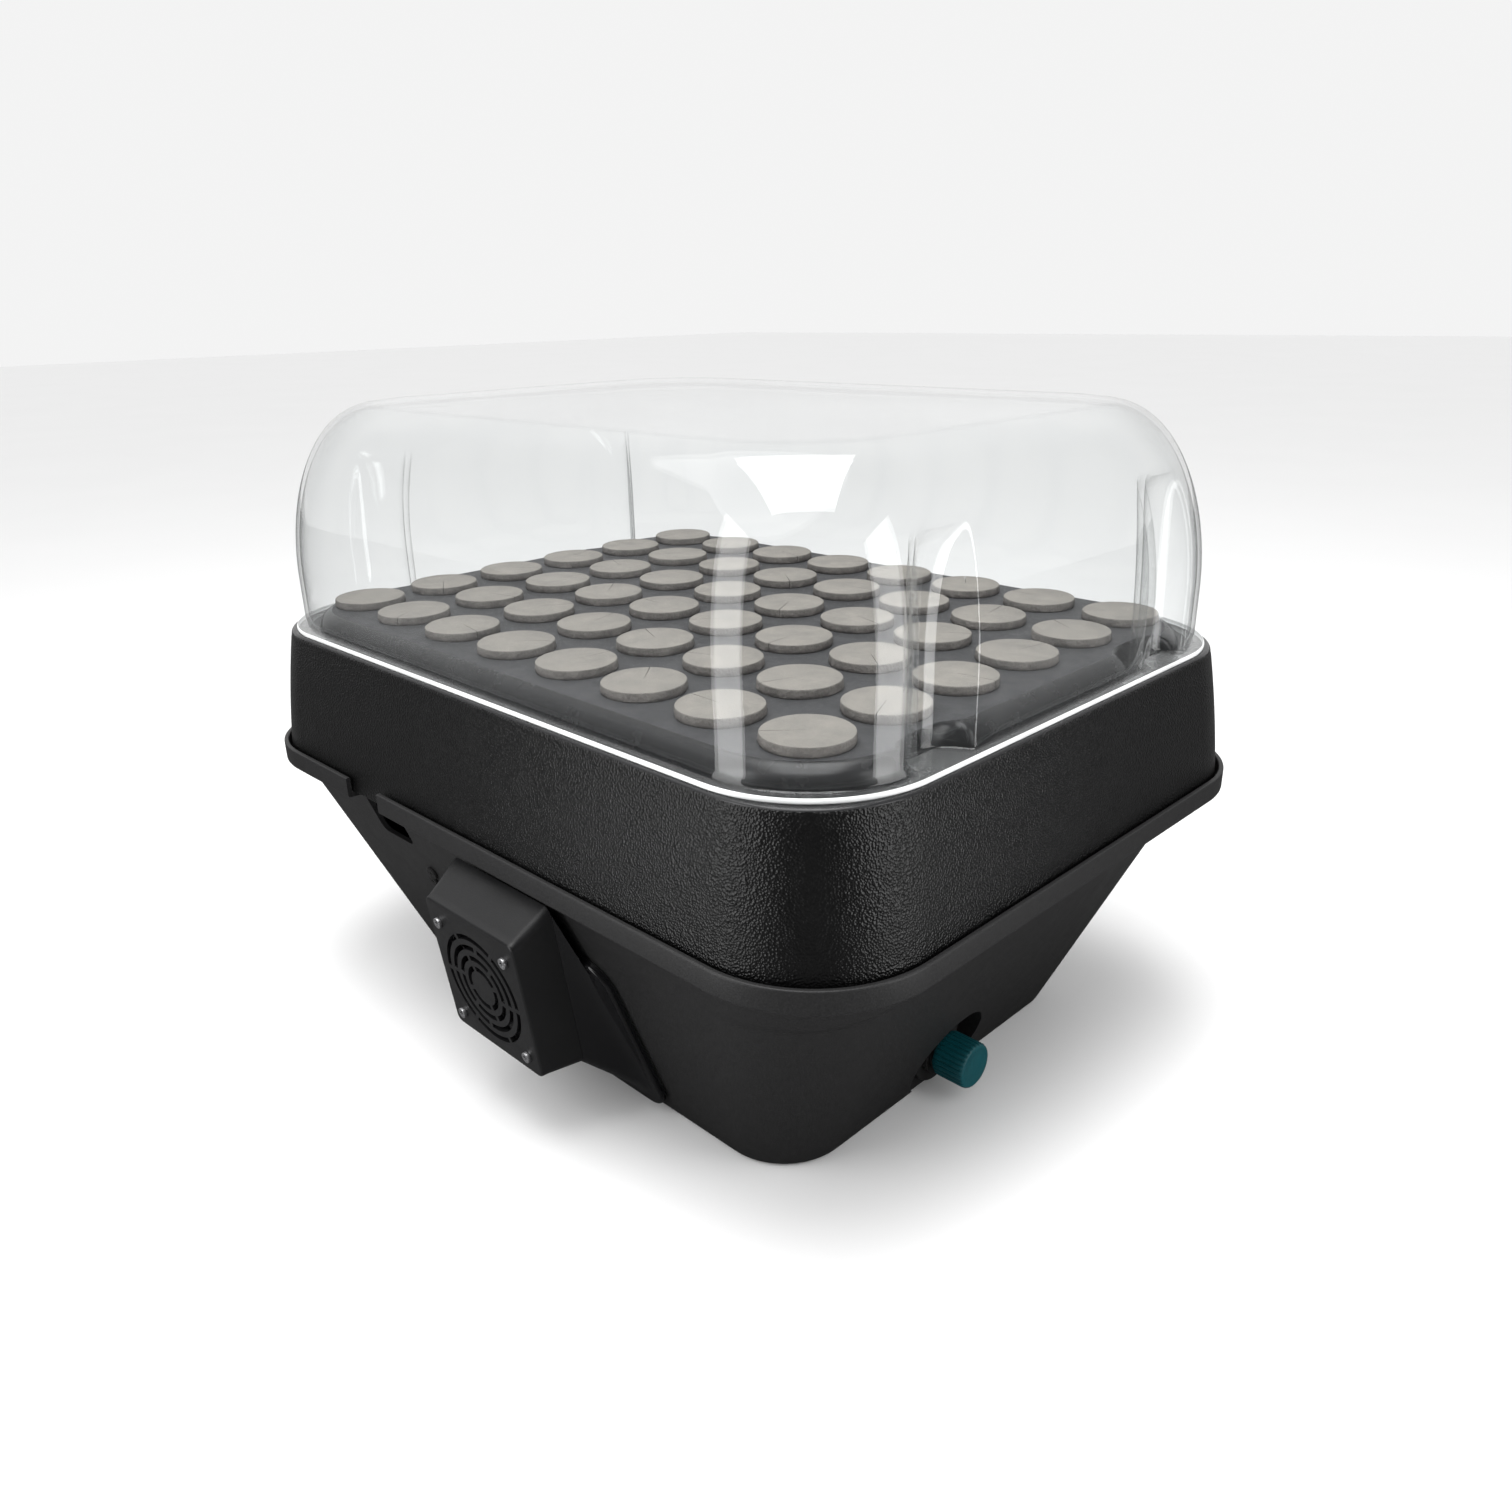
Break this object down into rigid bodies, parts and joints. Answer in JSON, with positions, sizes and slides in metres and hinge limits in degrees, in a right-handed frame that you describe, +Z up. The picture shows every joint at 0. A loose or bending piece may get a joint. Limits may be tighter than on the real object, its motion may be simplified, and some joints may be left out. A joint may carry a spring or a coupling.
{
  "type": "aeroponic propagator with humidity dome",
  "caption": "Clear humidity dome over a deep lid of foam planting collars, on a tapered black reservoir with a fan housing, a capped drain, and an inner pump with spray manifold.",
  "frame": {"origin": "centre of the reservoir's flat base, on the surface it stands on", "axes": "+X along the long side towards the drain, +Y towards the back, with the fan on the -Y wall, +Z up"},
  "size_m": [0.6036, 0.4887, 0.446],
  "materials": {
    "tub_black": "fine matte",
    "lid_black": "pebble grain, satin",
    "clear_plastic": "clear gloss",
    "collar_foam": "closed-cell foam",
    "cover_grey": "satin",
    "screw_steel": "bright",
    "fan_black": "satin",
    "motor_copper": "wound",
    "duct_black": "gloss",
    "seal_rubber": "matt",
    "fitting_black": "satin",
    "cap_teal": "satin",
    "pump_blue_black": "satin",
    "ceramic_white": "polished",
    "impeller_white": "satin",
    "pipe_white": "satin"
  },
  "bodies": {
    "reservoir": {"reservoir": "tub_black", "fan_cover": "cover_grey", "fan_cover_screws": "screw_steel", "fan_frame": "fan_black", "fan_motor": "motor_copper", "air_duct": "duct_black", "duct_gasket": "seal_rubber", "lead_grommets": "seal_rubber", "drain_fitting": "fitting_black", "drain_gasket": "seal_rubber", "drain_locknut": "fitting_black", "pump_housing": "pump_blue_black", "pump_strainer": "pump_blue_black", "pump_shaft": "ceramic_white", "pump_feet": "seal_rubber", "pump_cord_gland": "seal_rubber", "pump_outlet_adaptor": "fitting_black", "riser_pipe": "pipe_white", "manifold_hub": "pipe_white", "cross_pipes": "pipe_white", "manifold_tees": "pipe_white", "spray_bars": "pipe_white", "bar_end_caps": "pipe_white", "spray_nozzles": "fitting_black"},
    "lid": {"lid": "lid_black"},
    "dome": {"dome": "clear_plastic"},
    "collars_a": {"collars_row_a": "collar_foam"},
    "collars_b": {"collars_row_b": "collar_foam"},
    "collars_c": {"collars_row_c": "collar_foam"},
    "collars_d": {"collars_row_d": "collar_foam"},
    "collars_e": {"collars_row_e": "collar_foam"},
    "collars_f": {"collars_row_f": "collar_foam"},
    "fan_rotor": {"fan_rotor": "fan_black"},
    "impeller": {"pump_impeller": "impeller_white"},
    "cap_washer": {"drain_cap_washer": "seal_rubber"},
    "drain_cap": {"drain_cap": "cap_teal"}
  },
  "joints": [
    {"name": "lid_lift", "type": "slide", "parent": "reservoir", "child": "lid", "axis": [0, 0, 1], "range_m": [0, 0.3]},
    {"name": "dome_lift", "type": "slide", "parent": "lid", "child": "dome", "axis": [0, 0, 1], "range_m": [0, 0.25]},
    {"name": "collars_a_lift", "type": "slide", "parent": "lid", "child": "collars_a", "axis": [0, 0, 1], "range_m": [0, 0.06]},
    {"name": "collars_b_lift", "type": "slide", "parent": "lid", "child": "collars_b", "axis": [0, 0, 1], "range_m": [0, 0.06]},
    {"name": "collars_c_lift", "type": "slide", "parent": "lid", "child": "collars_c", "axis": [0, 0, 1], "range_m": [0, 0.06]},
    {"name": "collars_d_lift", "type": "slide", "parent": "lid", "child": "collars_d", "axis": [0, 0, 1], "range_m": [0, 0.06]},
    {"name": "collars_e_lift", "type": "slide", "parent": "lid", "child": "collars_e", "axis": [0, 0, 1], "range_m": [0, 0.06]},
    {"name": "collars_f_lift", "type": "slide", "parent": "lid", "child": "collars_f", "axis": [0, 0, 1], "range_m": [0, 0.06]},
    {"name": "fan_spin", "type": "hinge", "parent": "reservoir", "child": "fan_rotor", "pos_m": [0.0276, -0.23232, 0.1095], "axis": [0, -0.9917, -0.1288], "continuous": true},
    {"name": "impeller_spin", "type": "hinge", "parent": "reservoir", "child": "impeller", "pos_m": [0, 0, 0.042], "axis": [1, 0, 0], "continuous": true},
    {"name": "drain_cap_back_off", "type": "slide", "parent": "reservoir", "child": "cap_washer", "axis": [1, 0, 0], "range_m": [0, 0.0109]},
    {"name": "drain_cap_turn", "type": "hinge", "parent": "cap_washer", "child": "drain_cap", "pos_m": [0.226, -0.012, 0.029], "axis": [1, 0, 0], "range_deg": [0, 2160]}
  ],
  "couplings": [
    {"joint": "drain_cap_back_off", "follows": "drain_cap_turn", "m_per_rad": 0.00028871}
  ]
}
